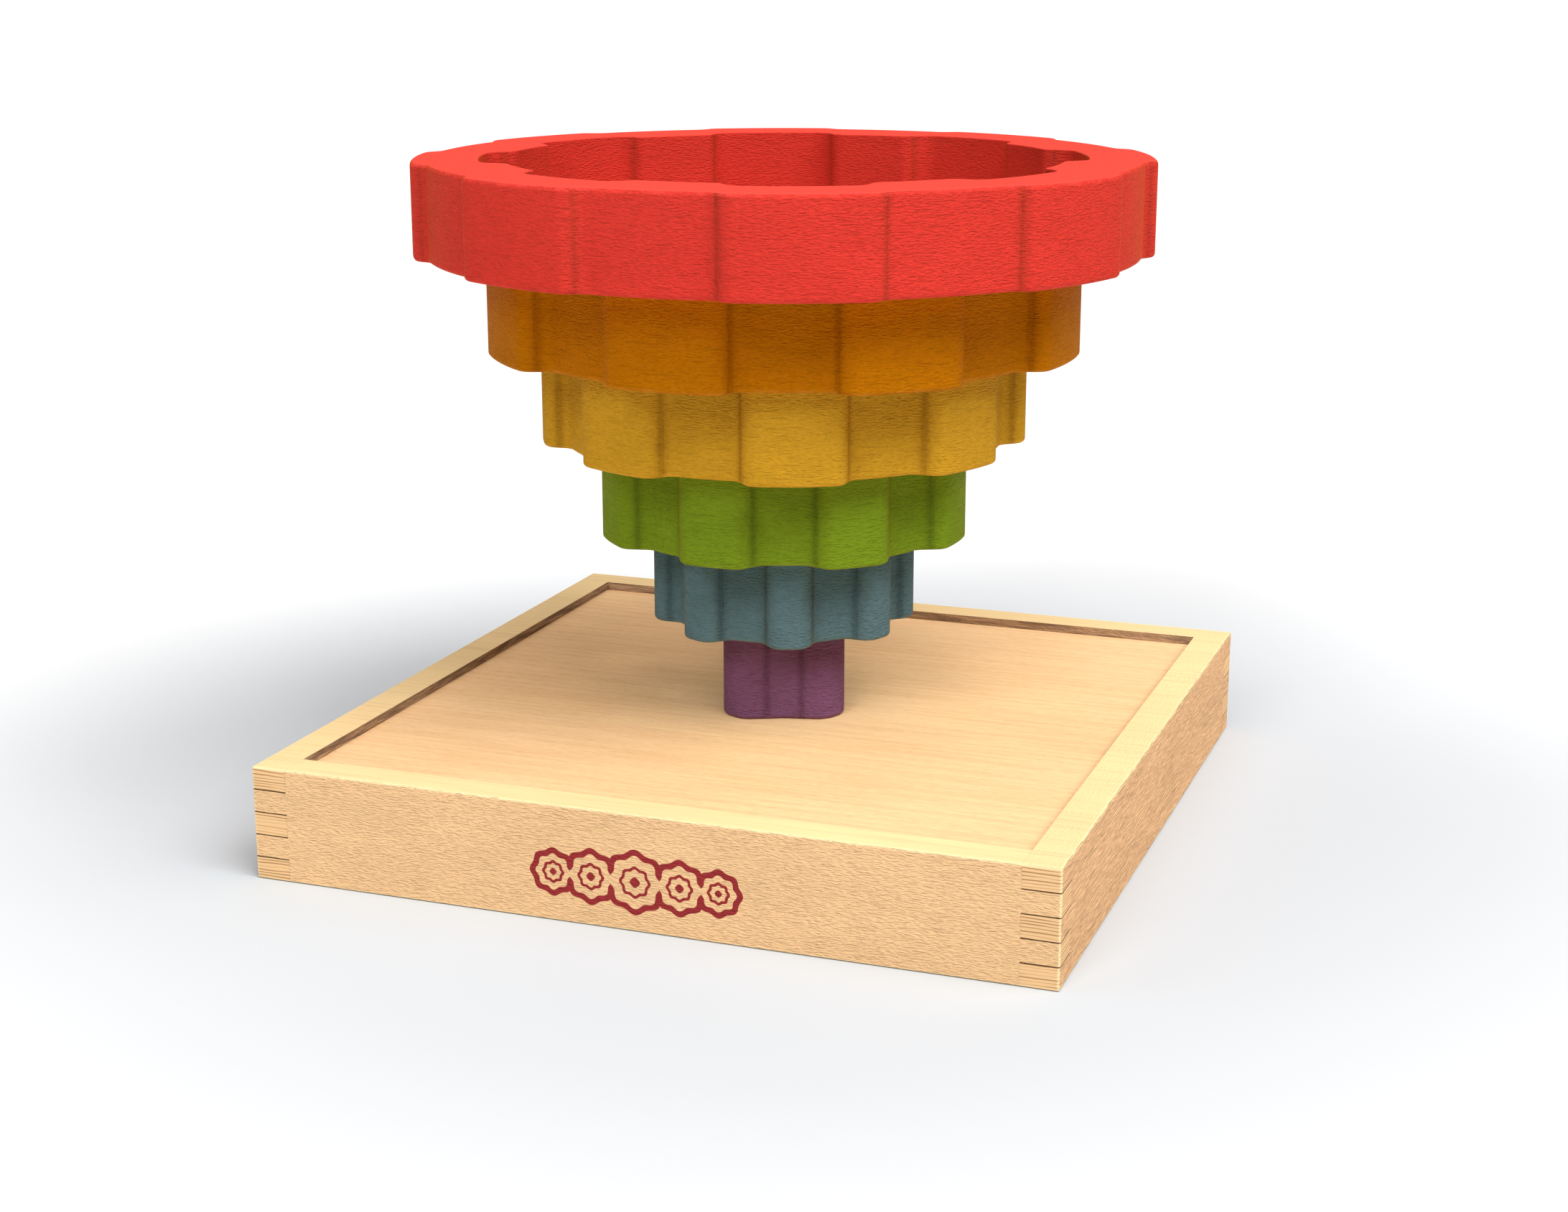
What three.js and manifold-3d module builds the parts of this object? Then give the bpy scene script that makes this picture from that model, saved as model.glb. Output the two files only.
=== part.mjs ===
// A nesting tower puzzle: five lobed wooden rings and a solid core, stacked smallest first on the
// upturned tray that they are stored in.  Each ring's hole is the outline of the next smaller
// piece with a little clearance, so a piece drops into its ring when their lobes line up, and
// rests on top of it when it is turned away.
//
// Millimetres, +Z up.  The origin is the middle of the tray's footprint on the surface that it
// stands on.  X runs along the front rail and the front faces -Y.

import * as THREE from 'three';
import { mergeVertices } from 'three/addons/utils/BufferGeometryUtils.js';
import Module from 'manifold-3d';

const wasm = await Module();
wasm.setup();

// ---- Driving dimensions ----------------------------------------------------------------------

const TRAY_SIDE = 210;
const TRAY_HEIGHT = 30;
const RAIL_THICKNESS = 9.5;
const FINGERS = 5;                  // finger bands up the height of each corner joint
const JOINT_GAP = 0.2;              // glue line between two wooden faces

const PANEL_THICKNESS = 3;
const PANEL_SINK = 2.5;             // depth of the panel below the upper edge of the rails
const PANEL_TONGUE = 4;             // how far the panel reaches into the rails
const GROOVE_PLAY = 0.2;            // groove depth beyond the tongue, and extra height

const PIECE_HEIGHT = 24.9;          // a 25 mm board, sanded
const EASED_EDGE = 1.1;             // width of the eased outer edges of the stacked pieces
const NEST_CLEARANCE = 0.5;         // between a piece and the hole that it nests in
const HOLE_OVERCUT = 1;             // how far a hole's cutter runs past the faces it pierces

const RING_SHOULDER = 4.5;          // radius of the convex corner of a ring's lobe
const RING_CREASE = 3.5;            // radius of the concave corner beside it
const CORE_CORNER = 6;              // radius of both corners of the core
const NEST_TURN = 22.5;             // turn at which the valleys face the tray's rails, degrees
const STACK_TURN = 20;              // extra turn of every second ring, which keeps it from dropping
const CORE_TURN = 42.5;             // extra turn of the core, which holds the smallest ring up

// Outline of each stacked piece, smallest first.  radius: to the crest of a lobe.  depth: from
// crest to valley.  share: part of the pitch that the lobe takes, measured halfway down its
// flanks.  flank: distance around the axis between the centres of a flank's two corners.
const PIECES = [
  { name: 'core_purple', lobes: 4, radius: 19.9, depth: 4.3, share: 0.535, flank: 12.7,
    shoulder: CORE_CORNER, crease: CORE_CORNER, turn: NEST_TURN + CORE_TURN, colour: 0x7a4560 },
  { name: 'ring_blue', lobes: 8, radius: 35.4, depth: 6.1, share: 0.45, flank: 8.4,
    shoulder: RING_SHOULDER, crease: RING_CREASE, turn: NEST_TURN, colour: 0x54717a },
  { name: 'ring_green', lobes: 8, radius: 50, depth: 5.8, share: 0.54, flank: 8.8,
    shoulder: RING_SHOULDER, crease: RING_CREASE, turn: NEST_TURN + STACK_TURN, colour: 0x77941d },
  { name: 'ring_yellow', lobes: 8, radius: 64.6, depth: 6, share: 0.54, flank: 8.2,
    shoulder: RING_SHOULDER, crease: RING_CREASE, turn: NEST_TURN, colour: 0xd19a26 },
  { name: 'ring_orange', lobes: 8, radius: 78.85, depth: 6.15, share: 0.545, flank: 8.4,
    shoulder: RING_SHOULDER, crease: RING_CREASE, turn: NEST_TURN + STACK_TURN, colour: 0xc66c06 },
  { name: 'ring_red', lobes: 8, radius: 97, depth: 3.15, share: 0.51, flank: 6.6,
    shoulder: RING_SHOULDER, crease: RING_CREASE, turn: NEST_TURN, colour: 0xe8392d },
];

const BEECH_COLOUR = 0xf2c890;
const PLYWOOD_COLOUR = 0xe6bd88;
const STAINED_ROUGHNESS = 0.55;
const BARE_ROUGHNESS = 0.65;

const INNER_HALF = TRAY_SIDE / 2 - RAIL_THICKNESS;
const PANEL_TOP = TRAY_HEIGHT - PANEL_SINK;

// ---- Solids ----------------------------------------------------------------------------------

function toManifold(geometry) {
  const bare = geometry.clone();
  bare.deleteAttribute('normal');
  bare.deleteAttribute('uv');
  const merged = mergeVertices(bare);
  const solid = new wasm.Mesh({
    numProp: 3,
    vertProperties: new Float32Array(merged.attributes.position.array),
    triVerts: new Uint32Array(merged.index.array),
  });
  return new wasm.Manifold(solid);
}

function toGeometry(manifold) {
  const { numProp, vertProperties, triVerts } = manifold.getMesh();
  const geometry = new THREE.BufferGeometry();
  geometry.setAttribute('position', new THREE.BufferAttribute(vertProperties, numProp));
  geometry.setIndex(new THREE.BufferAttribute(triVerts, 1));
  geometry.computeVertexNormals();
  return geometry;
}

function wood(colour, roughness) {
  return new THREE.MeshStandardMaterial({ color: colour, roughness, metalness: 0 });
}

// ---- Lobed outlines --------------------------------------------------------------------------

function polar(radius, angle) {
  return new THREE.Vector2(radius * Math.cos(angle), radius * Math.sin(angle));
}

// Points of an arc, without its first one.
function arc(centre, radius, from, to, steps) {
  return Array.from({ length: steps }, (_, i) => {
    const angle = from + (to - from) * (i + 1) / steps;
    return polar(radius, angle).add(centre);
  });
}

// Half a pitch of the outline, from the crest of a lobe at angle 0 to the middle of the valley:
// crest arc, shoulder, straight flank, crease, valley arc.  grow offsets the outline outwards,
// which changes the radii and leaves every centre where it is.
function halfPitch({ lobes, radius, depth, share, flank, shoulder, crease }, grow) {
  const axis = new THREE.Vector2(0, 0);
  const valley = radius - depth;
  const middle = share * Math.PI / lobes;
  const reach = flank / (radius + valley);
  const shoulderAngle = middle - reach;
  const creaseAngle = middle + reach;
  const shoulderCentre = polar(radius - shoulder, shoulderAngle);
  const creaseCentre = polar(valley + crease, creaseAngle);
  const between = creaseCentre.clone().sub(shoulderCentre);
  const lean = Math.acos((shoulder + crease) / between.length());
  const flankNormal = between.angle() - lean;
  const creaseStart = flankNormal + Math.PI;
  return [
    ...arc(axis, radius + grow, 0, shoulderAngle, 2),
    ...arc(shoulderCentre, shoulder + grow, shoulderAngle, flankNormal, 2),
    polar(crease - grow, creaseStart).add(creaseCentre),
    ...arc(creaseCentre, crease - grow, creaseStart, creaseAngle + Math.PI, 2),
    ...arc(axis, valley + grow, creaseAngle, Math.PI / lobes, 2),
  ];
}

function lobedOutline(plan, grow) {
  const half = halfPitch(plan, grow);
  const mirrored = half.slice(0, -1).reverse().map((point) => new THREE.Vector2(point.x, -point.y));
  const crest = new THREE.Vector2(plan.radius + grow, 0);
  const pitch = [...mirrored, crest, ...half];
  const turns = Array.from({ length: plan.lobes }, (_, i) => 2 * Math.PI * i / plan.lobes);
  const axis = new THREE.Vector2(0, 0);
  return turns.flatMap((turn) => pitch.map((point) => point.clone().rotateAround(axis, turn)));
}

// ---- Stacked pieces --------------------------------------------------------------------------

function lobedBlock(plan) {
  const block = new THREE.ExtrudeGeometry(new THREE.Shape(lobedOutline(plan, 0)), {
    depth: PIECE_HEIGHT - 2 * EASED_EDGE,
    bevelThickness: EASED_EDGE,
    bevelSize: EASED_EDGE,
    bevelOffset: -EASED_EDGE,
    bevelSegments: 1,
  });
  return block.translate(0, 0, EASED_EDGE);
}

function lobedHole(plan) {
  const hole = new THREE.ExtrudeGeometry(new THREE.Shape(lobedOutline(plan, NEST_CLEARANCE)), {
    depth: PIECE_HEIGHT + 2 * HOLE_OVERCUT,
    bevelEnabled: false,
  });
  return hole.translate(0, 0, -HOLE_OVERCUT);
}

// The smallest piece is solid; every other one is pierced by the outline of the one below it.
function pieceGeometry(level) {
  const block = toManifold(lobedBlock(PIECES[level]));
  if (level === 0) {
    return toGeometry(block);
  }
  return toGeometry(block.subtract(toManifold(lobedHole(PIECES[level - 1]))));
}

function stackedPiece(level) {
  const plan = PIECES[level];
  const mesh = new THREE.Mesh(pieceGeometry(level), wood(plan.colour, STAINED_ROUGHNESS));
  mesh.name = plan.name;
  mesh.position.z = PANEL_TOP + level * PIECE_HEIGHT;
  mesh.rotation.z = THREE.MathUtils.degToRad(plan.turn);
  return mesh;
}

// ---- Tray ------------------------------------------------------------------------------------

// Side view of a rail.  firstFinger is 0 when the rail has the lowest finger of the corner joint
// and 1 when the rail beside it has.
function railProfile(firstFinger) {
  const band = TRAY_HEIGHT / FINGERS;
  const right = [];
  let low = 0;
  for (let i = 0; i < FINGERS; i += 1) {
    const isFinger = i % 2 === firstFinger;
    const end = isFinger ? TRAY_SIDE / 2 : INNER_HALF - JOINT_GAP;
    const retreat = isFinger ? -JOINT_GAP / 2 : JOINT_GAP / 2;
    const high = i === FINGERS - 1 ? TRAY_HEIGHT : (i + 1) * band + retreat;
    right.push(new THREE.Vector2(end, low), new THREE.Vector2(end, high));
    low = high;
  }
  const left = right.map((point) => new THREE.Vector2(-point.x, point.y)).reverse();
  return new THREE.Shape([...right, ...left]);
}

// A rail along X with its inner face at y = 0, its outer face at negative y, and a groove for
// the panel.
function railGeometry(firstFinger) {
  const rail = new THREE.ExtrudeGeometry(railProfile(firstFinger), {
    depth: RAIL_THICKNESS,
    bevelEnabled: false,
  });
  rail.rotateX(Math.PI / 2);
  const grooveDepth = PANEL_TONGUE + GROOVE_PLAY;
  const groove = new THREE.BoxGeometry(
    2 * (INNER_HALF + grooveDepth),
    2 * grooveDepth,
    PANEL_THICKNESS + GROOVE_PLAY,
  );
  groove.translate(0, 0, PANEL_TOP - PANEL_THICKNESS / 2);
  return toGeometry(toManifold(rail).subtract(toManifold(groove)));
}

function railMesh(name, firstFinger, turn) {
  const mesh = new THREE.Mesh(railGeometry(firstFinger), wood(BEECH_COLOUR, BARE_ROUGHNESS));
  mesh.name = name;
  mesh.rotation.z = turn;
  mesh.position.set(INNER_HALF * Math.sin(turn), -INNER_HALF * Math.cos(turn), 0);
  return mesh;
}

function panelMesh() {
  const side = 2 * (INNER_HALF + PANEL_TONGUE);
  const panel = new THREE.BoxGeometry(side, side, PANEL_THICKNESS);
  const mesh = new THREE.Mesh(panel, wood(PLYWOOD_COLOUR, BARE_ROUGHNESS));
  mesh.name = 'tray_panel';
  mesh.position.z = PANEL_TOP - PANEL_THICKNESS / 2;
  return mesh;
}

// ---- Assembly --------------------------------------------------------------------------------

const tower = new THREE.Group();
tower.add(
  railMesh('rail_front', 1, 0),
  railMesh('rail_right', 0, Math.PI / 2),
  railMesh('rail_back', 1, Math.PI),
  railMesh('rail_left', 0, -Math.PI / 2),
  panelMesh(),
);
PIECES.forEach((_, level) => tower.add(stackedPiece(level)));

export default tower;
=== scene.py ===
"""Looks of the nesting tower puzzle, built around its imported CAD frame.

Metres, in the frame of the CAD: +Z up, the front rail faces -Y, and the tower's axis is the Z axis.
Each stacked piece is made again here with round corners and eased edges.  The rails and the panel
keep the shape of their CAD nodes and get fine bevels.  All finishes are procedural solid wood.
"""

import math

import bmesh
import bpy
import numpy as np
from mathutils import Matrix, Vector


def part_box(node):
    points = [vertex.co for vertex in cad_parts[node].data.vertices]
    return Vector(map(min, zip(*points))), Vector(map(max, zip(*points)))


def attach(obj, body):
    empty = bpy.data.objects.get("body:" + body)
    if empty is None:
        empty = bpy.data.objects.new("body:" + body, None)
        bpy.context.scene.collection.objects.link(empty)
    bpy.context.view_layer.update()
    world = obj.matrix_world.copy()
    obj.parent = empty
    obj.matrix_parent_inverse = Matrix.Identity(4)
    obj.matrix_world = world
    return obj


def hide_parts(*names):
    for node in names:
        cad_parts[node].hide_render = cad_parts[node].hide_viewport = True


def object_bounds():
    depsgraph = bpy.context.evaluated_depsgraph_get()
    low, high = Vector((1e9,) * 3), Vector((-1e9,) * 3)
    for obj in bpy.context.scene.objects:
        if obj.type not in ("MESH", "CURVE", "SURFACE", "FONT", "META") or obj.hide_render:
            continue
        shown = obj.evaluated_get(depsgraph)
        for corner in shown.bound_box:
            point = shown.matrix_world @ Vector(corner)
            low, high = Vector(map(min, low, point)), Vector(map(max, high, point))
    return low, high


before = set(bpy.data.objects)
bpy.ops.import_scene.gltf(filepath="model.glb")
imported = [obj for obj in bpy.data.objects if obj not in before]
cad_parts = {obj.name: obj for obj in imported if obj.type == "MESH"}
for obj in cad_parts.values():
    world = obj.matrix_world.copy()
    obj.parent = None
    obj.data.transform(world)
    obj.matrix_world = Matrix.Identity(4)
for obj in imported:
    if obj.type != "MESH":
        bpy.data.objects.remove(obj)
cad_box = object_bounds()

MM = 0.001
QUARTER = math.pi / 2
RAIL_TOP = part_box("rail_front")[1].z
INNER_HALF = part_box("rail_right")[0].x   # from the tray's middle to the inner face of a rail

# ---- Camera and room -----------------------------------------------------------------------------

CAMERA_AZIMUTH = math.radians(20.0)      # turned from the front towards the right rail
CAMERA_PITCH = math.radians(15.1)        # looking down
CAMERA_REACH = 664.8 * MM                # from the tower's axis, measured level
CAMERA_HEIGHT = 234.4 * MM
FOCAL_LENGTH = 57.66                     # mm, on a 36 mm sensor
SENSOR_WIDTH = 36

FLOOR_SIZE = 60.0
FLOOR_SHADE = (0.59, 0.625, 0.65)        # painted shade on the floor beside the tray
FLOOR_FAR = (0.84, 0.84, 0.84)
FLOOR_SHADE_REACH = 0.12                  # metres from the tower's axis; the painted shade is full within this and gone past the next
FLOOR_SHADE_FADE_REACH = 0.34
WORLD_COLOUR = (0.97, 0.98, 1.0)
WORLD_STRENGTH = 0.03

# Soft distant lights: name, azimuth and elevation in degrees, width in degrees, strength.  Azimuth 0
# is straight in front of the tray.  At strength 1 a light square on lights a white face fully.
LIGHTS = [
    ("key", 65, 48, 36, 0.55),
    ("high_right", 90, 70, 30, 0.13),
    ("front_high", 30, 50, 30, 0.27),
    ("front_low", -8, 33, 24, 0.36),
    ("top", 20, 85, 40, 0.13),
    ("right", 100, 42, 36, 0.25),
    ("left", -70, 38, 40, 0.13),
    ("back", 200, 45, 40, 0.07),
]

# ---- Shapes --------------------------------------------------------------------------------------

EASED_EDGE = 1.1 * MM                    # outer edges of the stacked pieces
HOLE_EASE = 0.25 * MM
NEST_CLEARANCE = 0.5 * MM
RAIL_BEVEL = 0.5 * MM                    # outer edges of the tray
JOINT_BEVEL = 0.02 * MM
FINGERS = 5                              # bands up the height of each corner joint
GLUE_LINE_STOP = 2 * MM                  # from the top and bottom of the rails
END_RING_PITCH = 0.85 * MM
EDGE_HIGHLIGHT_WIDTH = 0.9 * MM                     # width of the painted highlight along the tray's outer edges
FOOT_SHADOW = 0.45 * MM                   # height of the painted contact shadow along the lower edge
PANEL_BEVEL = 0.15 * MM
RING_SHOULDER = 4.5 * MM
RING_CREASE = 3.5 * MM
CORE_CORNER = 6 * MM
NEST_TURN = 22.5                         # degrees, of a crest from the piece's own X axis
FLANK_STRIP = 1.1 * MM                   # half the width of the rougher strip down a flank, which also carries a painted shade
ARC_POINTS = 60                          # fine points that an arc of an outline is made of
HALF_PITCH_POINTS = 30                   # points kept of half a lobe, on an eight-lobed outline
EASE_STEPS = 4
HOLE_EASE_STEPS = 2
OUTER_BEVEL_STEPS = 3
JOINT_BEVEL_STEPS = 2
TOLERANCE = 0.01 * MM                    # within which two places of the CAD are the same
GLUE_GAP = 0.5 * MM                      # more than any gap between two glued faces
SHARP_CORNER = math.radians(50)
FLAT_JOIN = math.radians(1)
LEVEL_NORMAL = 0.999                     # upward part of the normal of a level face, at least
UPRIGHT_NORMAL = 1e-4                    # and of an upright face, at most

# Smallest first.  depth: from crest to valley.  share: part of the pitch that a lobe takes.
# flank: distance round the axis between the centres of a flank's two corners.  turn: degrees that
# the piece is turned out of the position in which it would nest.
PLANS = [
    {"node": "core_purple", "body": "core", "slot": "purple_stain", "lobes": 4, "depth": 4.3 * MM,
     "share": 0.535, "flank": 12.7 * MM, "shoulder": CORE_CORNER, "crease": CORE_CORNER, "turn": 42.5},
    {"node": "ring_blue", "body": "blue_ring", "slot": "blue_stain", "lobes": 8, "depth": 6.1 * MM,
     "share": 0.45, "flank": 8.4 * MM, "shoulder": RING_SHOULDER, "crease": RING_CREASE, "turn": 0},
    {"node": "ring_green", "body": "green_ring", "slot": "green_stain", "lobes": 8, "depth": 5.8 * MM,
     "share": 0.54, "flank": 8.8 * MM, "shoulder": RING_SHOULDER, "crease": RING_CREASE, "turn": 20},
    {"node": "ring_yellow", "body": "yellow_ring", "slot": "yellow_stain", "lobes": 8, "depth": 6 * MM,
     "share": 0.54, "flank": 8.2 * MM, "shoulder": RING_SHOULDER, "crease": RING_CREASE, "turn": 0},
    {"node": "ring_orange", "body": "orange_ring", "slot": "orange_stain", "lobes": 8, "depth": 6.15 * MM,
     "share": 0.545, "flank": 8.4 * MM, "shoulder": RING_SHOULDER, "crease": RING_CREASE, "turn": 20},
    {"node": "ring_red", "body": "red_ring", "slot": "red_stain", "lobes": 8, "depth": 3.15 * MM,
     "share": 0.51, "flank": 6.6 * MM, "shoulder": RING_SHOULDER, "crease": RING_CREASE, "turn": 0},
]

# ---- Finishes ------------------------------------------------------------------------------------

# Linear colours of the stains: on a plain face, and where the grain has soaked up more of it; the second
# is also the painted shade down each flank.
STAINS = {
    "purple_stain": ((0.20, 0.087, 0.178), (0.10, 0.035, 0.07)),
    "blue_stain": ((0.10, 0.183, 0.215), (0.037, 0.07, 0.084)),
    "green_stain": ((0.173, 0.276, 0.014), (0.061, 0.103, 0.0075)),
    "yellow_stain": ((0.58, 0.315, 0.020), (0.26, 0.115, 0.0075)),
    "orange_stain": ((0.46, 0.153, 0.0005), (0.21, 0.06, 0.0005)),
    "red_stain": ((0.65, 0.040, 0.028), (0.33, 0.036, 0.016)),
}
HIGHLIGHT_GAIN = 1.42                         # of a stain's colour, in the painted highlight on eased edges and level faces
HIGHLIGHT_LIFT = 0.03
COAT_TINT = (0.97, 0.95, 0.93)           # thin varnish, which deepens where it is seen aslant
SHEEN_TINT = (0.45, 0.24, 0.0)
VARNISH = {
    "Coat Weight": 1.0,
    "Coat Roughness": 0.8,
    "Coat IOR": 1.03,
    "Coat Tint": (*COAT_TINT, 1),
    "Sheen Weight": 0.28,
    "Sheen Roughness": 0.3,
    "Sheen Tint": (*SHEEN_TINT, 1),
}
STAINED_ROUGHNESS = 0.6
BARE_ROUGHNESS = 0.62
ROUGHNESS_SWING = 0.07                   # duller in the hollows, shinier on the crests of the grain
WOOD_SPECULAR = 0.02

FIBRE_WIDTH = 0.37                       # of a noise cell, in millimetres
PORE_WIDTH = 0.2
PORE_STRETCH = 6                         # length of a pore, in wrinkles
STAINED_RELIEF = 0.68 * MM               # height of the grain's relief between its extreme values
FRONT_RELIEF = 0.75 * MM
SIDE_RELIEF = 1.7 * MM
PANEL_RELIEF = 0.12 * MM
FLAT_RELIEF = 0.1                        # part of the relief that sanding has left on level faces
HOLE_RELIEF = 0.6                        # part of it in the holes, which are cut smoother
PORE_DEPTH = 0.1                         # as part of the relief

BEECH_LIGHT = (0.85, 0.535, 0.277)
BEECH_PINK = (0.90, 0.525, 0.27)         # the side rails
BEECH_DARK = (0.42, 0.20, 0.08)
BEECH_END = (0.83, 0.525, 0.265)
BEECH_TOP_HIGHLIGHT = (0.94, 0.70, 0.36)
RECESS_SHADE_BROWN = (0.29, 0.19, 0.125)
RECESS_SHADE_STREAK = (0.57, 0.385, 0.24)
PANEL_LIGHT = (0.95, 0.645, 0.345)
PANEL_DARK = (0.78, 0.46, 0.22)
# dark glue lines, and also the painted contact shadow along the foot
GLUE_AND_SHADOW_BROWN = (0.13, 0.06, 0.02)
BEECH_HIGHLIGHT = (1.0, 0.80, 0.46)

MOTIF_MAROON = (0.31, 0.032, 0.034)
MOTIF_HEIGHT = 12.7 * MM                 # middle of the print above the floor
MOTIF_LINE = 0.8 * MM
MOTIF_RINGS = ((0, 6.4 * MM), (11.6 * MM, 5.4 * MM), (21.6 * MM, 4.4 * MM))   # place and radius
MOTIF_INNER = 0.55                       # of the thin ring in each mark, as part of its radius
MOTIF_HEART = 0.2
MOTIF_SWING = 0.07                       # of a lobe, as part of its ring's radius
MOTIF_BLUR = 0.07 * MM


# ---- Node helpers --------------------------------------------------------------------------------

class Shader:
    """A material's node tree, with short calls for the nodes that the woods are made of."""

    def __init__(self, name):
        self.material = bpy.data.materials.new(name)
        self.material.use_nodes = True
        self.tree = self.material.node_tree
        self.bsdf = self.tree.nodes["Principled BSDF"]
        coordinates = self.tree.nodes.new("ShaderNodeTexCoord")
        self.position = coordinates.outputs["Object"]
        self.normal = coordinates.outputs["Normal"]

    def feed(self, socket, value):
        if isinstance(value, bpy.types.NodeSocket):
            self.tree.links.new(value, socket)
        elif isinstance(value, (tuple, list)) and len(value) == 3 and socket.type == "RGBA":
            socket.default_value = (*value, 1)
        else:
            socket.default_value = value

    def node(self, kind, inputs, output=0, **settings):
        made = self.tree.nodes.new("ShaderNode" + kind)
        for key, value in settings.items():
            setattr(made, key, value)
        for key, value in inputs.items():
            self.feed(made.inputs[key], value)
        return made.outputs[output]

    def maths(self, operation, a, b=0.0, clamp=False):
        return self.node("Math", {0: a, 1: b}, operation=operation, use_clamp=clamp)

    def smooth(self, value, low, high, start=0.0, end=1.0):
        inputs = {"Value": value, "From Min": low, "From Max": high, "To Min": start, "To Max": end}
        return self.node("MapRange", inputs, interpolation_type="SMOOTHSTEP")

    def mix(self, factor, a, b, blend="MIX"):
        return self.node("Mix", {0: factor, 6: a, 7: b}, output=2, data_type="RGBA", blend_type=blend)

    def stretch(self, cells):
        """Coordinates in which a noise cell has the size given in millimetres along each axis."""
        scale = tuple(1 / (cell * MM) for cell in cells)
        return self.node("Mapping", {"Vector": self.position, "Scale": scale})

    def noise(self, cells, detail=2.0, roughness=0.5, distortion=0.0, seed=0.0):
        inputs = {"Vector": self.stretch(cells), "W": seed, "Scale": 1.0, "Detail": detail}
        inputs.update({"Roughness": roughness, "Distortion": distortion})
        return self.node("TexNoise", inputs, noise_dimensions="4D")

    def axis(self, vector, name):
        return self.node("SeparateXYZ", {0: vector}, output="XYZ".index(name))

    def attribute(self, name):
        return self.node("Attribute", {}, output=2, attribute_name=name)

    def bump(self, height, distance, strength):
        inputs = {"Strength": strength, "Distance": distance, "Height": height}
        return self.node("Bump", inputs)


# ---- Wood grain ----------------------------------------------------------------------------------

def fibres(wood, lengths):
    """Fine wrinkles of the sanded face, and the dark hairlines of open pores.

    lengths: millimetres that a wrinkle is drawn out along X, Y and Z, or 0 where it is fine."""
    cells = [length or FIBRE_WIDTH for length in lengths]
    wrinkle = wood.noise(cells, detail=1.0, roughness=0.4, distortion=0.3)
    cells = [length * PORE_STRETCH or PORE_WIDTH for length in lengths]
    pores = wood.noise(cells, detail=1.0, seed=3.0)
    return wrinkle, wood.smooth(pores, 0.62, 0.74)


def fibre_relief(wood, wrinkle, hairline):
    """Height of the wrinkles and pores, with the plain face at zero."""
    level = wood.maths("SUBTRACT", wrinkle, 0.5)
    return wood.maths("SUBTRACT", level, wood.maths("MULTIPLY", hairline, PORE_DEPTH))


def darkest(wood, hollow, hollow_share, hairline, hairline_share):
    """How dark the hollows and the pores are, whichever is darker."""
    hollows = wood.maths("MULTIPLY", hollow, hollow_share)
    return wood.maths("MAXIMUM", hollows, wood.maths("MULTIPLY", hairline, hairline_share))


def clouds(wood, colour, cells, low, high):
    """Slow light and dark drift of the colour across a board."""
    drift = wood.smooth(wood.noise(cells, seed=7.0), 0.3, 0.7, low, high)
    grey = wood.node("CombineColor", {0: drift, 1: drift, 2: drift})
    return wood.mix(1.0, colour, grey, blend="MULTIPLY")


def finish_wood(wood, colour, wrinkle, height, relief, roughness):
    wood.feed(wood.bsdf.inputs["Base Color"], colour)
    dull, shiny = roughness + ROUGHNESS_SWING, roughness - ROUGHNESS_SWING
    rough = wood.smooth(wrinkle, 0.3, 0.7, dull, shiny)
    wood.feed(wood.bsdf.inputs["Roughness"], rough)
    wood.feed(wood.bsdf.inputs["Normal"], wood.bump(height, relief, 1.0))
    wood.bsdf.inputs["Specular IOR Level"].default_value = WOOD_SPECULAR
    return wood.material


# ---- Stained wood --------------------------------------------------------------------------------

def stained_wood(slot):
    """Solid wood with level lines all round its sides, under a thin matt stain."""
    plain, soaked_and_shade = STAINS[slot]
    wood = Shader(slot)
    wrinkle, hairline = fibres(wood, (1.4, 1.4, 0))
    hollow = wood.smooth(wrinkle, 0.48, 0.36)
    pits = darkest(wood, hollow, 0.12, hairline, 0.4)
    # Painted shade: a dark strip down the middle of each flank, mixed towards the darker stain colour.
    flank_shade = wood.maths("MULTIPLY", wood.attribute("flank"), 0.5)
    colour = wood.mix(wood.maths("ADD", pits, flank_shade, clamp=True), plain, soaked_and_shade)
    colour = clouds(wood, colour, (30, 9, 9), 0.97, 1.03)
    # Painted highlight: a patchy lighter stain along the middle of each eased edge.
    patchy = wood.smooth(wood.noise((6, 3, 3), seed=9.0), 0.45, 0.62, 0.1, 0.4)
    edge_highlight = wood.maths("MULTIPLY", wood.attribute("edge"), patchy)
    highlight_colour = tuple(min(1.0, channel * HIGHLIGHT_GAIN + HIGHLIGHT_LIFT) for channel in plain)
    colour = wood.mix(edge_highlight, colour, highlight_colour)
    # Painted highlight: every level face takes the lighter stain too.
    is_flat = wood.smooth(wood.maths("ABSOLUTE", wood.axis(wood.normal, "Z")), 0.8, 0.97)
    colour = wood.mix(is_flat, colour, highlight_colour)
    machined = wood.noise((0.5, 0.5, 7), detail=2.0, seed=13.0)
    machined = wood.maths("MULTIPLY", wood.maths("SUBTRACT", machined, 0.5), wood.attribute("flank"))
    relief = wood.maths("ADD", fibre_relief(wood, wrinkle, hairline), machined)
    relief = wood.maths("MULTIPLY", relief, wood.smooth(is_flat, 0.0, 1.0, 1.0, FLAT_RELIEF))
    facing = {0: wood.position, 1: wood.normal}
    outwards = wood.node("VectorMath", facing, output=1, operation="DOT_PRODUCT")
    relief = wood.maths("MULTIPLY", relief, wood.smooth(outwards, -MM, MM, HOLE_RELIEF, 1.0))
    for name, value in VARNISH.items():
        wood.bsdf.inputs[name].default_value = value
    return finish_wood(wood, colour, wrinkle, relief, STAINED_RELIEF, STAINED_ROUGHNESS)


# ---- Bare wood -----------------------------------------------------------------------------------

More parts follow.
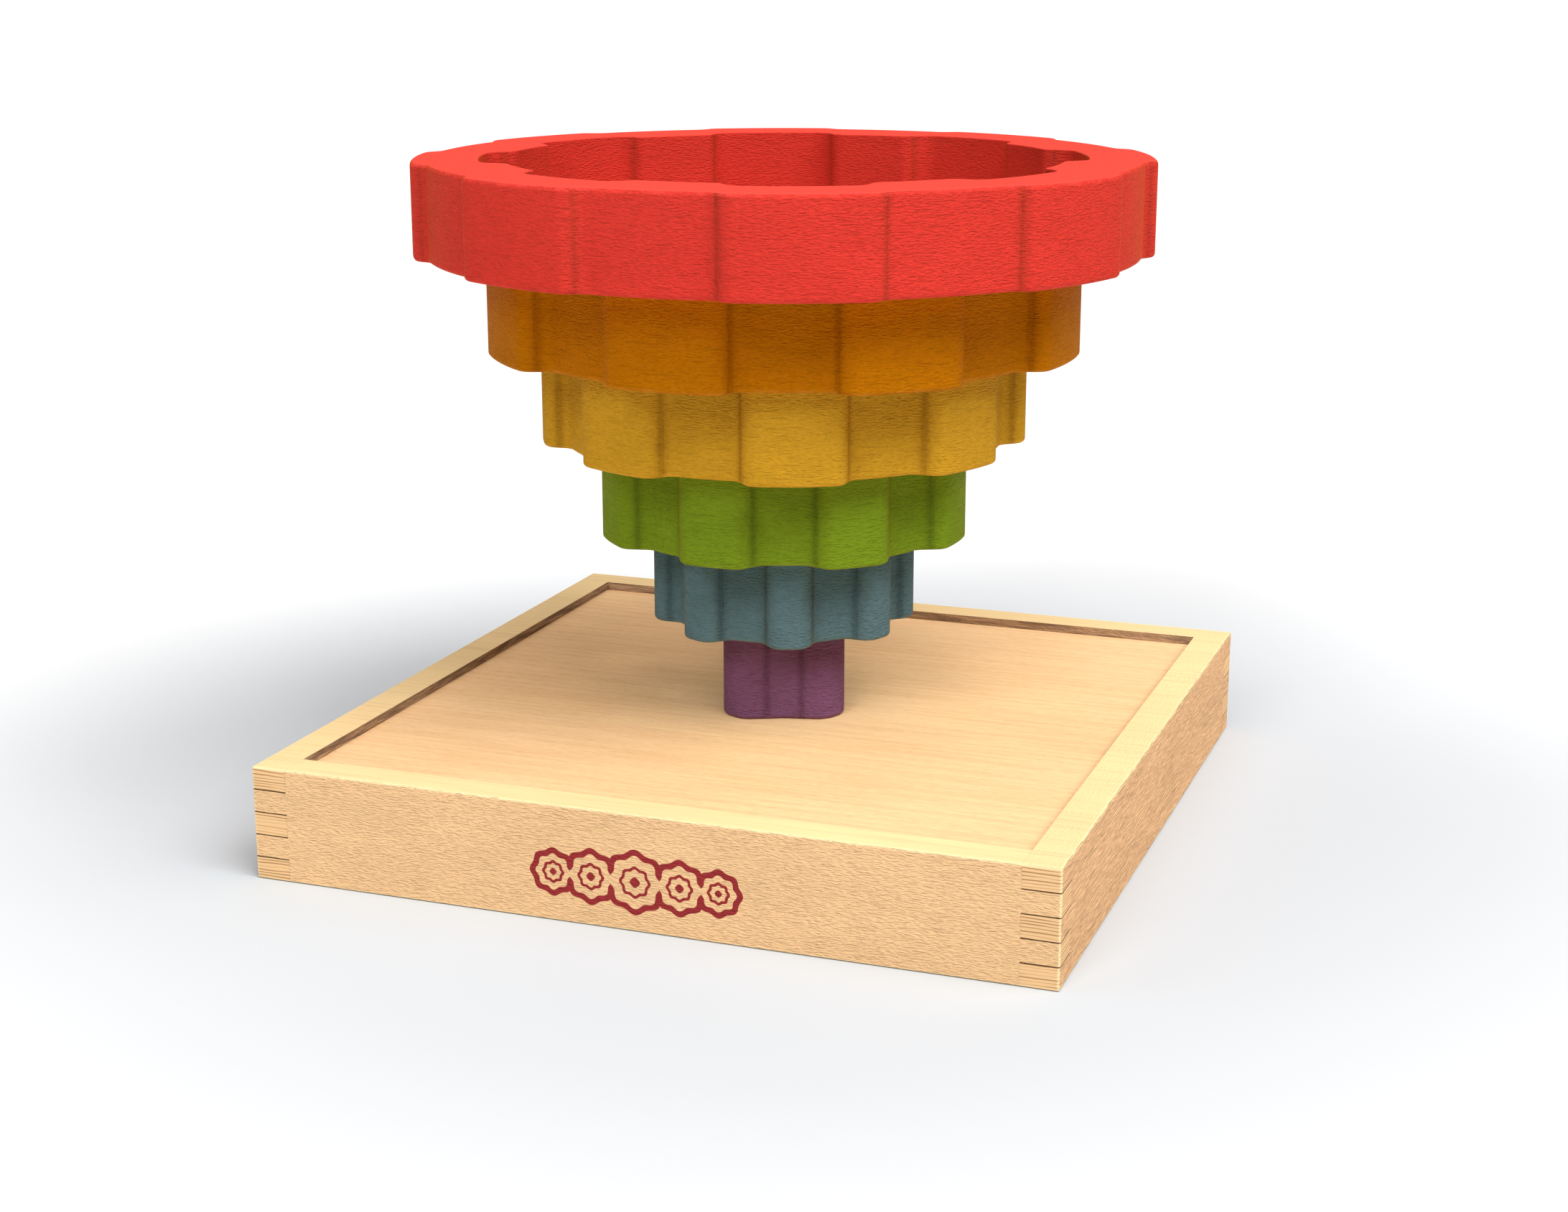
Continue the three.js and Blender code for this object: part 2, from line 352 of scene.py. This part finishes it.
def bare_rail(name, axis, motif=False):
    """Sanded beech.  axis is the direction of the rail's grain: X or Y."""
    wood = Shader(name)
    wrinkle, hairline = fibres(wood, (1.5, 0, 0) if axis == "X" else (0, 5.0, 0))
    hollow = wood.smooth(wrinkle, 0.48, 0.36)
    pits = darkest(wood, hollow, 0.06, hairline, 0.4)
    side = wood.mix(pits, BEECH_LIGHT if axis == "X" else BEECH_PINK, BEECH_DARK)

    ring_line = end_lines(wood)
    ends = wood.mix(wood.maths("MULTIPLY", ring_line, 0.75), BEECH_END, BEECH_DARK)
    facing_end = wood.maths("ABSOLUTE", wood.axis(wood.normal, axis))
    is_end = wood.smooth(facing_end, 0.2, 0.5)
    colour = wood.mix(is_end, side, ends)

    # Level tops: grain lines along X on a lighter colour, which paints the highlight that the tops catch.
    lines = wood.noise((36, 0.8, 0.8), detail=3.0, seed=5.0)
    top = wood.mix(wood.smooth(lines, 0.45, 0.75, 0.0, 0.2), BEECH_TOP_HIGHLIGHT, BEECH_DARK)
    is_top = wood.smooth(wood.axis(wood.normal, "Z"), 0.75, 0.95)
    if axis == "Y":
        top = wood.mix(corner_seam(wood), top, BEECH_DARK)
    colour = wood.mix(is_top, colour, top)
    colour = clouds(wood, colour, (40, 40, 10), 0.96, 1.03)

    # Painted shade on the inner faces that face the recess, with wavy lighter grain streaks.
    bands = wood.noise((14, 14, 1.1), detail=2.0, seed=19.0)
    wall = wood.mix(wood.smooth(bands, 0.35, 0.65), RECESS_SHADE_BROWN, RECESS_SHADE_STREAK)
    colour = wood.mix(recess_side(wood, axis), colour, wall)
    # Painted highlight along the tray's outer edges.
    colour = wood.mix(wood.maths("MULTIPLY", outer_edge_highlight(wood), 0.7), colour, BEECH_HIGHLIGHT)
    colour = wood.mix(glue_line(wood), colour, GLUE_AND_SHADOW_BROWN)
    # Painted contact shadow, darkest at the foot of each rail.
    foot_shadow = wood.smooth(wood.axis(wood.position, "Z"), FOOT_SHADOW, 0.0)
    colour = wood.mix(foot_shadow, colour, GLUE_AND_SHADOW_BROWN)
    if motif:
        colour = wood.mix(motif_mask(wood), colour, MOTIF_MAROON)

    end_relief = wood.maths("MULTIPLY", ring_line, -0.1)
    relief = wood.node("Mix", {0: is_end, 2: fibre_relief(wood, wrinkle, hairline), 3: end_relief})
    relief = wood.maths("MULTIPLY", relief, wood.smooth(is_top, 0.0, 1.0, 1.0, FLAT_RELIEF))
    height = FRONT_RELIEF if axis == "X" else SIDE_RELIEF
    return finish_wood(wood, colour, wrinkle, relief, height, BARE_ROUGHNESS)


def end_lines(wood):
    """Thin level lines of the growth rings, as the ends of the fingers show them."""
    drift = wood.noise((18, 18, 3.5), detail=1.0, seed=11.0)
    height = wood.maths("ADD", wood.axis(wood.position, "Z"), wood.maths("MULTIPLY", drift, 1.6 * MM))
    away = wood.maths("PINGPONG", height, END_RING_PITCH / 2)
    weight = wood.smooth(wood.noise((30, 30, 0.7), detail=1.0, seed=17.0), 0.4, 0.6, 0.25, 1.0)
    return wood.maths("MULTIPLY", wood.smooth(away, 0.2 * MM, 0.04 * MM), weight)


def glue_line(wood):
    """Dark line between the fingers of a corner joint, where the glue has squeezed out."""
    height = wood.axis(wood.position, "Z")
    from_joint = wood.maths("PINGPONG", height, RAIL_TOP / FINGERS / 2)
    line = wood.smooth(from_joint, 0.22 * MM, 0.08 * MM)
    from_middle = wood.maths("ABSOLUTE", wood.maths("SUBTRACT", height, RAIL_TOP / 2))
    inside = wood.maths("LESS_THAN", from_middle, RAIL_TOP / 2 - GLUE_LINE_STOP)
    for name in "XY":
        across = wood.maths("ABSOLUTE", wood.axis(wood.position, name))
        inside = wood.maths("MULTIPLY", inside, wood.maths("GREATER_THAN", across, INNER_HALF))
    faded = wood.smooth(wood.maths("ABSOLUTE", wood.axis(wood.normal, "X")), 0.5, 0.9, 1.0, 0.5)
    return wood.maths("MULTIPLY", line, wood.maths("MULTIPLY", inside, faded))


def outer_edge_highlight(wood):
    """1 along the tray's outer edges, which a paler colour marks as a painted highlight."""
    half = cad_box[1].x
    centre = RAIL_TOP / 2
    from_middle = wood.maths("ABSOLUTE", wood.maths("SUBTRACT", wood.axis(wood.position, "Z"), centre))
    level = wood.smooth(from_middle, centre - EDGE_HIGHLIGHT_WIDTH, centre)
    side, front = (
        wood.smooth(wood.maths("ABSOLUTE", wood.axis(wood.position, name)), half - EDGE_HIGHLIGHT_WIDTH, half)
        for name in "XY"
    )
    corner = wood.maths("MULTIPLY", side, front)
    rim = wood.maths("MULTIPLY", level, wood.maths("MAXIMUM", side, front))
    return wood.maths("MAXIMUM", corner, rim)


def corner_seam(wood):
    """Hairline across the top of a side rail, in line with the inner face of the rail beside it."""
    away = wood.maths("ABSOLUTE", wood.axis(wood.position, "Y"))
    away = wood.maths("ABSOLUTE", wood.maths("SUBTRACT", away, INNER_HALF))
    return wood.smooth(away, 0.15 * MM, 0.05 * MM, 0.0, 0.2)


def recess_side(wood, axis):
    """1 on the inner side of a rail, which faces the recess."""
    across = wood.axis(wood.position, "Y" if axis == "X" else "X")
    inside = wood.maths("LESS_THAN", wood.maths("ABSOLUTE", across), INNER_HALF + 2 * JOINT_BEVEL)
    upright = wood.maths("LESS_THAN", wood.axis(wood.normal, "Z"), 0.5)
    return wood.maths("MULTIPLY", inside, upright)


def bare_panel():
    """Thin sanded plywood with a plain straight grain along X."""
    wood = Shader("plywood")
    wrinkle = wood.noise((3.2, 0.5, 0.5), detail=3.0, distortion=0.6)
    grain = wood.noise((40, 1.8, 1.8), detail=3.0, distortion=0.3, seed=5.0)
    streaks = wood.maths("MULTIPLY", wood.smooth(wrinkle, 0.4, 0.65), 0.35)
    shade = wood.maths("ADD", streaks, wood.smooth(grain, 0.35, 0.7, 0.0, 0.4), clamp=True)
    colour = wood.mix(shade, PANEL_LIGHT, PANEL_DARK)
    colour = clouds(wood, colour, (60, 30, 30), 0.96, 1.03)
    return finish_wood(wood, colour, wrinkle, wrinkle, PANEL_RELIEF, BARE_ROUGHNESS)


# ---- Printed motif -------------------------------------------------------------------------------

def lobed_distance(wood, across, up, radius, lobes):
    """How far outside a lobed circle round the origin a point is."""
    squares = (wood.maths("POWER", across, 2.0), wood.maths("POWER", up, 2.0))
    away = wood.maths("SQRT", wood.maths("ADD", *squares))
    turn = wood.maths("MULTIPLY", wood.maths("ARCTAN2", up, across), lobes)
    swing = wood.maths("MULTIPLY", wood.maths("COSINE", turn), radius * MOTIF_SWING)
    return wood.maths("SUBTRACT", away, wood.maths("ADD", swing, radius))


def stroke(wood, distance, half_width):
    """1 within half_width of where distance is 0."""
    away = wood.maths("ABSOLUTE", distance)
    return wood.smooth(away, half_width + MOTIF_BLUR, half_width - MOTIF_BLUR)


def motif_mask(wood):
    """A row of nested lobed rings in one broad outline, printed on the front face."""
    half_line = MOTIF_LINE / 2
    across = wood.maths("ABSOLUTE", wood.axis(wood.position, "X"))
    up = wood.maths("SUBTRACT", wood.axis(wood.position, "Z"), MOTIF_HEIGHT)
    outside, marks = None, None
    for place, radius in MOTIF_RINGS:
        local = wood.maths("SUBTRACT", across, place)
        outer = lobed_distance(wood, local, up, radius, 8)
        middle = lobed_distance(wood, local, up, radius * MOTIF_INNER, 8)
        heart = lobed_distance(wood, local, up, radius * MOTIF_HEART, 4)
        ring = stroke(wood, middle, half_line)
        mark = wood.maths("MAXIMUM", ring, wood.smooth(heart, MOTIF_BLUR, -MOTIF_BLUR))
        outside = outer if outside is None else wood.maths("MINIMUM", outside, outer)
        marks = mark if marks is None else wood.maths("MAXIMUM", marks, mark)
    band = wood.maths("SUBTRACT", outside, MOTIF_LINE)
    broad = stroke(wood, band, MOTIF_LINE)
    facing = wood.maths("LESS_THAN", wood.axis(wood.normal, "Y"), -0.9)
    return wood.maths("MULTIPLY", wood.maths("MAXIMUM", broad, marks), facing)


# ---- Lobed outlines ------------------------------------------------------------------------------

def arc(centre, radius, start, end):
    angles = np.linspace(start, end, ARC_POINTS)
    points = np.column_stack((np.cos(angles), np.sin(angles))) * radius
    return points + centre


def polar(radius, angle):
    return np.array((math.cos(angle), math.sin(angle))) * radius


def half_pitch(plan, grow):
    """From the crest of a lobe to the middle of the valley: crest, shoulder, flank, crease, valley.

    grow offsets the outline outwards.  Returns fine points, and the number of the first one past
    the flank."""
    valley = plan["radius"] - plan["depth"]
    shoulder, crease = plan["shoulder"], plan["crease"]
    middle = plan["share"] * math.pi / plan["lobes"]
    reach = plan["flank"] / (plan["radius"] + valley)
    shoulder_centre = polar(plan["radius"] - shoulder, middle - reach)
    crease_centre = polar(valley + crease, middle + reach)
    between = crease_centre - shoulder_centre
    lean = math.acos((shoulder + crease) / np.hypot(*between))
    normal = math.atan2(between[1], between[0]) - lean
    lobe = [
        arc((0, 0), plan["radius"] + grow, 0, middle - reach),
        arc(shoulder_centre, shoulder + grow, middle - reach, normal),
    ]
    hollow = [
        arc(crease_centre, crease - grow, normal + math.pi, middle + reach + math.pi),
        arc((0, 0), valley + grow, middle + reach, math.pi / plan["lobes"]),
    ]
    return np.vstack(lobe + hollow), sum(len(points) for points in lobe)


def outline(plan, grow):
    """Evenly spaced points round the whole outline, and how near each is to the middle of a flank."""
    count = HALF_PITCH_POINTS * 8 // plan["lobes"]
    points, past = half_pitch(plan, grow)
    along = np.concatenate(([0], np.cumsum(np.hypot(*np.diff(points, axis=0).T))))
    even = np.linspace(0, along[-1], count + 1)
    half = np.column_stack([np.interp(even, along, points[:, i]) for i in (0, 1)])
    middle = (along[past - 1] + along[past]) / 2
    half_flank = np.exp(-((even - middle) / FLANK_STRIP) ** 2)
    pitch = np.vstack((half[:0:-1] * (1, -1), half[:-1]))
    pitch_flank = np.concatenate((half_flank[:0:-1], half_flank[:-1]))
    around = []
    for lobe in range(plan["lobes"]):
        turn = math.radians(NEST_TURN) + 2 * math.pi * lobe / plan["lobes"]
        cos, sin = math.cos(turn), math.sin(turn)
        around.append(pitch @ np.array(((cos, sin), (-sin, cos))))
    return np.vstack(around), np.tile(pitch_flank, plan["lobes"])


# ---- Stacked pieces ------------------------------------------------------------------------------

def eased_rows(edge, steps, height):
    """Rows up a wall with rounded ends: inset, height, and how near the middle of the rounding, the
    strength of the painted highlight.
    """
    turns = np.linspace(0, QUARTER, steps + 1)
    lower = [(edge * (1 - math.sin(t)), edge * (1 - math.cos(t)), math.sin(2 * t)) for t in turns]
    upper = [(inset, height - z, edge_highlight) for inset, z, edge_highlight in reversed(lower)]
    return lower + upper


def lobed_piece(level):
    plan = PLANS[level]
    low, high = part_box(plan["node"])
    height = high.z - low.z
    rows = []
    for inset, z, edge_highlight in eased_rows(EASED_EDGE, EASE_STEPS, height):
        points, flank = outline(plan, -inset)
        rows.append((points, z, edge_highlight, flank))
    if level:
        inner = PLANS[level - 1]
        for inset, z, edge_highlight in reversed(eased_rows(HOLE_EASE, HOLE_EASE_STEPS, height)):
            points, flank = outline(inner, NEST_CLEARANCE + inset)
            rows.append((points, z, edge_highlight, flank))
    return mesh_of_rows(plan["node"], rows, closed=level > 0)


def mesh_of_rows(name, rows, closed):
    count = len(rows[0][0])
    positions = np.vstack([np.column_stack((points, np.full(count, z))) for points, z, _, _ in rows])
    links = len(rows) if closed else len(rows) - 1
    faces = []
    for row in range(links):
        start, end = row * count, (row + 1) % len(rows) * count
        for i in range(count):
            after = (i + 1) % count
            faces.append((start + i, start + after, end + after, end + i))
    if not closed:
        faces.append(tuple(range(count - 1, -1, -1)))
        faces.append(tuple(range(links * count, links * count + count)))
    mesh = bpy.data.meshes.new(name + "_visual")
    mesh.from_pydata(positions.tolist(), [], faces)
    # The edge attribute carries the painted edge highlight; flank marks the middle of each flank, for its
    # relief and painted shade.
    edge = np.concatenate([np.full(count, edge_highlight) for _, _, edge_highlight, _ in rows])
    flank = np.concatenate([values for _, _, _, values in rows])
    for key, values in (("edge", edge), ("flank", flank)):
        mesh.attributes.new(key, "FLOAT", "POINT").data.foreach_set("value", values.astype(np.float32))
    smooth_with_crisp_flats(mesh)
    return bpy.data.objects.new(name + "_wood", mesh)


def smooth_with_crisp_flats(mesh):
    """Smooth shading, but a flat face isn't shaded round where its eased edge begins."""
    shaped = bmesh.new()
    shaped.from_mesh(mesh)
    for face in shaped.faces:
        face.smooth = True
    for edge in shaped.edges:
        tilts = [abs(face.normal.z) for face in edge.link_faces]
        if len(tilts) == 2 and min(tilts) < LEVEL_NORMAL <= max(tilts):
            edge.smooth = False
        if len(tilts) == 2 and min(tilts) < UPRIGHT_NORMAL < max(tilts):
            edge.smooth = False
    shaped.to_mesh(mesh)
    shaped.free()


def add_piece(piece, node, body, material):
    bpy.context.scene.collection.objects.link(piece)
    piece.data.materials.clear()
    piece.data.materials.append(material)
    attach(piece, body)
    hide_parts(node)
    return piece


def make_stack():
    for level, plan in enumerate(PLANS):
        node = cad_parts[plan["node"]]
        plan["radius"] = max(math.hypot(vertex.co.x, vertex.co.y) for vertex in node.data.vertices)
        piece = lobed_piece(level)
        piece.location.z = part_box(plan["node"])[0].z
        piece.rotation_euler.z = math.radians(plan["turn"])
        add_piece(piece, plan["node"], plan["body"], stained_wood(plan["slot"]))


# ---- Tray ----------------------------------------------------------------------------------------

def is_outer(edge):
    """True for the tray's own long edges and corners, which are eased more than the joints are."""
    half = cad_box[1].x - TOLERANCE
    ends = [vertex.co for vertex in edge.verts]
    outer_x = all(abs(end.x) > half for end in ends)
    outer_y = all(abs(end.y) > half for end in ends)
    along = ends[1] - ends[0]
    if abs(along.z) > TOLERANCE:
        return outer_x and outer_y
    extreme = not TOLERANCE < ends[0].z < RAIL_TOP - TOLERANCE
    return extreme and (outer_x and abs(along.x) < TOLERANCE or outer_y and abs(along.y) < TOLERANCE)


def close_glue_lines(shaped):
    """The ends of the fingers meet the rail beside them; only the glue lines between fingers show."""
    for vertex in shaped.verts:
        for axis in (0, 1):
            gap = INNER_HALF - abs(vertex.co[axis])
            if TOLERANCE < gap < GLUE_GAP:
                vertex.co[axis] = math.copysign(INNER_HALF, vertex.co[axis])


def bevel_edges(shaped, edges, width, steps):
    bmesh.ops.bevel(shaped, geom=edges, offset=width, segments=steps, profile=0.5, affect="EDGES")


def bevelled_copy(node, outer_bevel, joint_bevel):
    """The CAD node's own shape, with its flat faces whole again and its edges eased."""
    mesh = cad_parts[node].data.copy()
    mesh.name = node + "_visual"
    shaped = bmesh.new()
    shaped.from_mesh(mesh)
    bmesh.ops.remove_doubles(shaped, verts=shaped.verts, dist=TOLERANCE)
    bmesh.ops.dissolve_limit(
        shaped, angle_limit=FLAT_JOIN, use_dissolve_boundaries=False,
        verts=shaped.verts, edges=shaped.edges,
    )
    close_glue_lines(shaped)
    outer = [edge for edge in shaped.edges if is_outer(edge)]
    bevel_edges(shaped, outer, outer_bevel, OUTER_BEVEL_STEPS)
    sharp = [edge for edge in shaped.edges if edge.calc_face_angle(0) > SHARP_CORNER]
    bevel_edges(shaped, sharp, joint_bevel, JOINT_BEVEL_STEPS)
    for face in shaped.faces:
        face.smooth = True
    shaped.to_mesh(mesh)
    shaped.free()
    mesh.update()
    piece = bpy.data.objects.new(node + "_wood", mesh)
    piece.modifiers.new("flat_faces", "WEIGHTED_NORMAL").weight = 100
    return piece


def make_tray():
    finishes = {
        "rail_front": bare_rail("beech_front", "X", motif=True),
        "rail_back": bare_rail("beech_back", "X"),
        "rail_left": bare_rail("beech_left", "Y"),
        "rail_right": bare_rail("beech_right", "Y"),
    }
    for node, material in finishes.items():
        add_piece(bevelled_copy(node, RAIL_BEVEL, JOINT_BEVEL), node, "tray", material)
    panel = bevelled_copy("tray_panel", PANEL_BEVEL, PANEL_BEVEL)
    add_piece(panel, "tray_panel", "tray", bare_panel())


# ---- Room ----------------------------------------------------------------------------------------

def make_floor():
    mesh = bpy.data.meshes.new("floor")
    half = FLOOR_SIZE / 2
    corners = [(-half, -half, 0), (half, -half, 0), (half, half, 0), (-half, half, 0)]
    mesh.from_pydata(corners, [], [(0, 1, 2, 3)])
    floor = bpy.data.objects.new("floor", mesh)
    bpy.context.scene.collection.objects.link(floor)
    paint = Shader("floor_paint")
    away = paint.node("VectorMath", {0: paint.position}, output=1, operation="LENGTH")
    # Painted shade round the tray, fading out to the plain floor colour.
    shade_fade = paint.smooth(away, FLOOR_SHADE_REACH, FLOOR_SHADE_FADE_REACH)
    paint.feed(paint.bsdf.inputs["Base Color"], paint.mix(shade_fade, FLOOR_SHADE, FLOOR_FAR))
    paint.bsdf.inputs["Roughness"].default_value = 0.9
    paint.bsdf.inputs["Specular IOR Level"].default_value = 0.1
    mesh.materials.append(paint.material)


def make_lights():
    for name, azimuth, elevation, width, strength in LIGHTS:
        lamp = bpy.data.lights.new(name, "SUN")
        lamp.energy = strength * math.pi
        lamp.angle = math.radians(width)
        light = bpy.data.objects.new(name, lamp)
        light.rotation_euler = (QUARTER - math.radians(elevation), 0, math.radians(azimuth))
        bpy.context.scene.collection.objects.link(light)
    world = bpy.data.worlds.new("studio")
    world.use_nodes = True
    background = world.node_tree.nodes["Background"]
    background.inputs["Color"].default_value = (*WORLD_COLOUR, 1)
    background.inputs["Strength"].default_value = WORLD_STRENGTH
    bpy.context.scene.world = world
    bpy.context.scene.view_settings.view_transform = "Standard"


def make_camera():
    lens = bpy.data.cameras.new("camera")
    lens.sensor_width = SENSOR_WIDTH
    lens.lens = FOCAL_LENGTH
    camera = bpy.data.objects.new("camera", lens)
    camera.location = (
        CAMERA_REACH * math.sin(CAMERA_AZIMUTH),
        -CAMERA_REACH * math.cos(CAMERA_AZIMUTH),
        CAMERA_HEIGHT,
    )
    camera.rotation_euler = (QUARTER - CAMERA_PITCH, 0, CAMERA_AZIMUTH)
    bpy.context.scene.collection.objects.link(camera)
    bpy.context.scene.camera = camera


make_camera()
make_floor()
make_lights()
make_tray()
make_stack()
